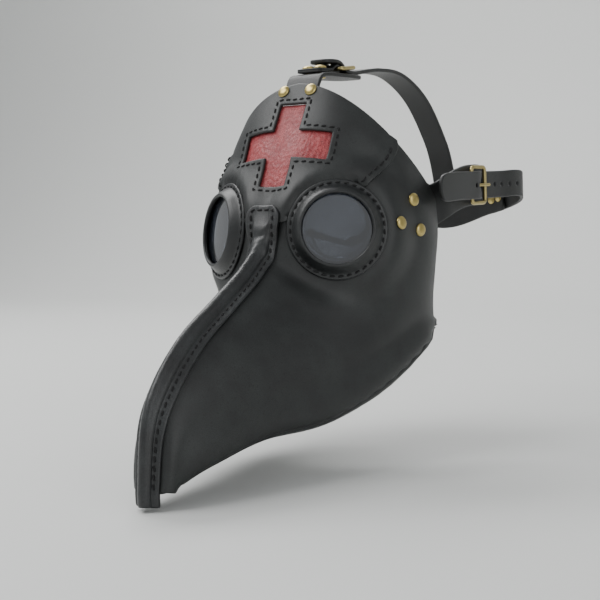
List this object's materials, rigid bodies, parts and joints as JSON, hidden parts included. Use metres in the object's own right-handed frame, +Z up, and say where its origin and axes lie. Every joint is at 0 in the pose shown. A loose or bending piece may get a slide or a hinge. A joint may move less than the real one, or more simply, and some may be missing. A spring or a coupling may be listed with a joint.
{
  "type": "plague doctor mask",
  "caption": "Leather half-hood with a long down-curved beak, round smoked goggles, a red cross window and three buckled straps that hold it on a head.",
  "frame": {"origin": "midway between the temples' rear edges, in the centre plane, at the height of the goggles' centres: the middle of the head it seats on", "axes": "the mask faces -Y and seats on the head along +Y, +X is the wearer's left, +Z is up"},
  "size_m": [0.1826, 0.4054, 0.2787],
  "materials": {
    "panel_leather": "satin black, fine grain",
    "ridge_leather": "soft black, slightly shiny, creased",
    "goggle_leather": "satin black, burnished edges",
    "strap_leather": "matte black bridle leather",
    "red_leather": "pebbled red",
    "smoked_lens": "smoked mirror gloss",
    "rivet_brass": "antique brass",
    "buckle_brass": "antique brass"
  },
  "bodies": {
    "root": {"forehead_panel": "panel_leather", "cross_inlay": "red_leather", "cheek_panel_left": "panel_leather", "cheek_panel_right": "panel_leather", "beak_ridge": "ridge_leather", "chin_gusset": "panel_leather", "goggle_ring_left": "goggle_leather", "goggle_ring_right": "goggle_leather", "lens_left": "smoked_lens", "lens_right": "smoked_lens", "lens_retainer_left": "goggle_leather", "lens_retainer_right": "goggle_leather", "forehead_rivets": "rivet_brass", "temple_rivets_left": "rivet_brass", "temple_rivets_right": "rivet_brass", "forehead_tab": "strap_leather", "temple_tab_left": "strap_leather", "temple_tab_right": "strap_leather", "top_strap": "strap_leather", "side_strap_left": "strap_leather", "side_strap_right": "strap_leather", "rear_yoke": "strap_leather", "chape_top": "strap_leather", "chape_left": "strap_leather", "chape_right": "strap_leather", "chape_rivets_top": "rivet_brass", "chape_rivets_left": "rivet_brass", "chape_rivets_right": "rivet_brass", "side_strap_rivets_left": "rivet_brass", "side_strap_rivets_right": "rivet_brass", "top_strap_rivets": "rivet_brass"},
    "buckle_left": {"buckle_frame_left": "buckle_brass"},
    "prong_left": {"buckle_prong_left": "buckle_brass"},
    "buckle_right": {"buckle_frame_right": "buckle_brass"},
    "prong_right": {"buckle_prong_right": "buckle_brass"},
    "buckle_top": {"buckle_frame_top": "buckle_brass"},
    "prong_top": {"buckle_prong_top": "buckle_brass"}
  },
  "joints": [
    {"name": "buckle_lift_left", "type": "hinge", "parent": "root", "child": "buckle_left", "pos_m": [0.0832, 0.036, 0.0255], "axis": [0, 0, -1], "range_deg": [0, 12]},
    {"name": "prong_lift_left", "type": "hinge", "parent": "buckle_left", "child": "prong_left", "pos_m": [0.0832, 0.036, 0.0255], "axis": [0, 0, -1], "range_deg": [0, 25]},
    {"name": "buckle_lift_right", "type": "hinge", "parent": "root", "child": "buckle_right", "pos_m": [-0.0832, 0.036, 0.0255], "axis": [0, 0, 1], "range_deg": [0, 12]},
    {"name": "prong_lift_right", "type": "hinge", "parent": "buckle_right", "child": "prong_right", "pos_m": [-0.0832, 0.036, 0.0255], "axis": [0, 0, 1], "range_deg": [0, 25]},
    {"name": "buckle_lift_top", "type": "hinge", "parent": "root", "child": "buckle_top", "pos_m": [0, -0.024, 0.1122], "axis": [1, 0, 0], "range_deg": [0, 12]},
    {"name": "prong_lift_top", "type": "hinge", "parent": "buckle_top", "child": "prong_top", "pos_m": [0, -0.024, 0.1122], "axis": [1, 0, 0], "range_deg": [0, 25]}
  ]
}
